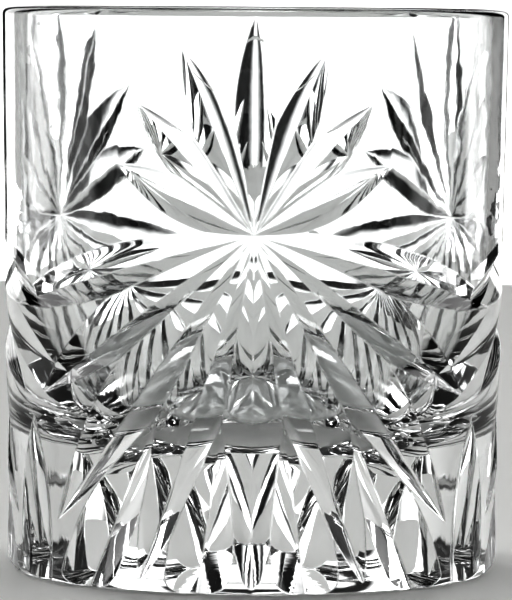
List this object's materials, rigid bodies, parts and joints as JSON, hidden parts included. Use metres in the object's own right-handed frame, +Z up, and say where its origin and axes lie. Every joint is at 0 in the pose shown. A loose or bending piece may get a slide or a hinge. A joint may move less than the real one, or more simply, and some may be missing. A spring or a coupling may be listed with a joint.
{
  "type": "whiskey tumbler",
  "caption": "Short, wide cut-crystal drinking glass with a plain lip, starburst mitre cuts round the wall and a thick solid base.",
  "frame": {"origin": "middle of the foot, on the surface the tumbler stands on", "axes": "+Z up along the tumbler's axis, -Y towards the centre of the first starburst"},
  "size_m": [0.083, 0.083, 0.092],
  "materials": {
    "crystal": "polished clear lead crystal, with crisp mitre-cut facets"
  },
  "bodies": {
    "root": {"tumbler": "crystal"}
  },
  "joints": []
}
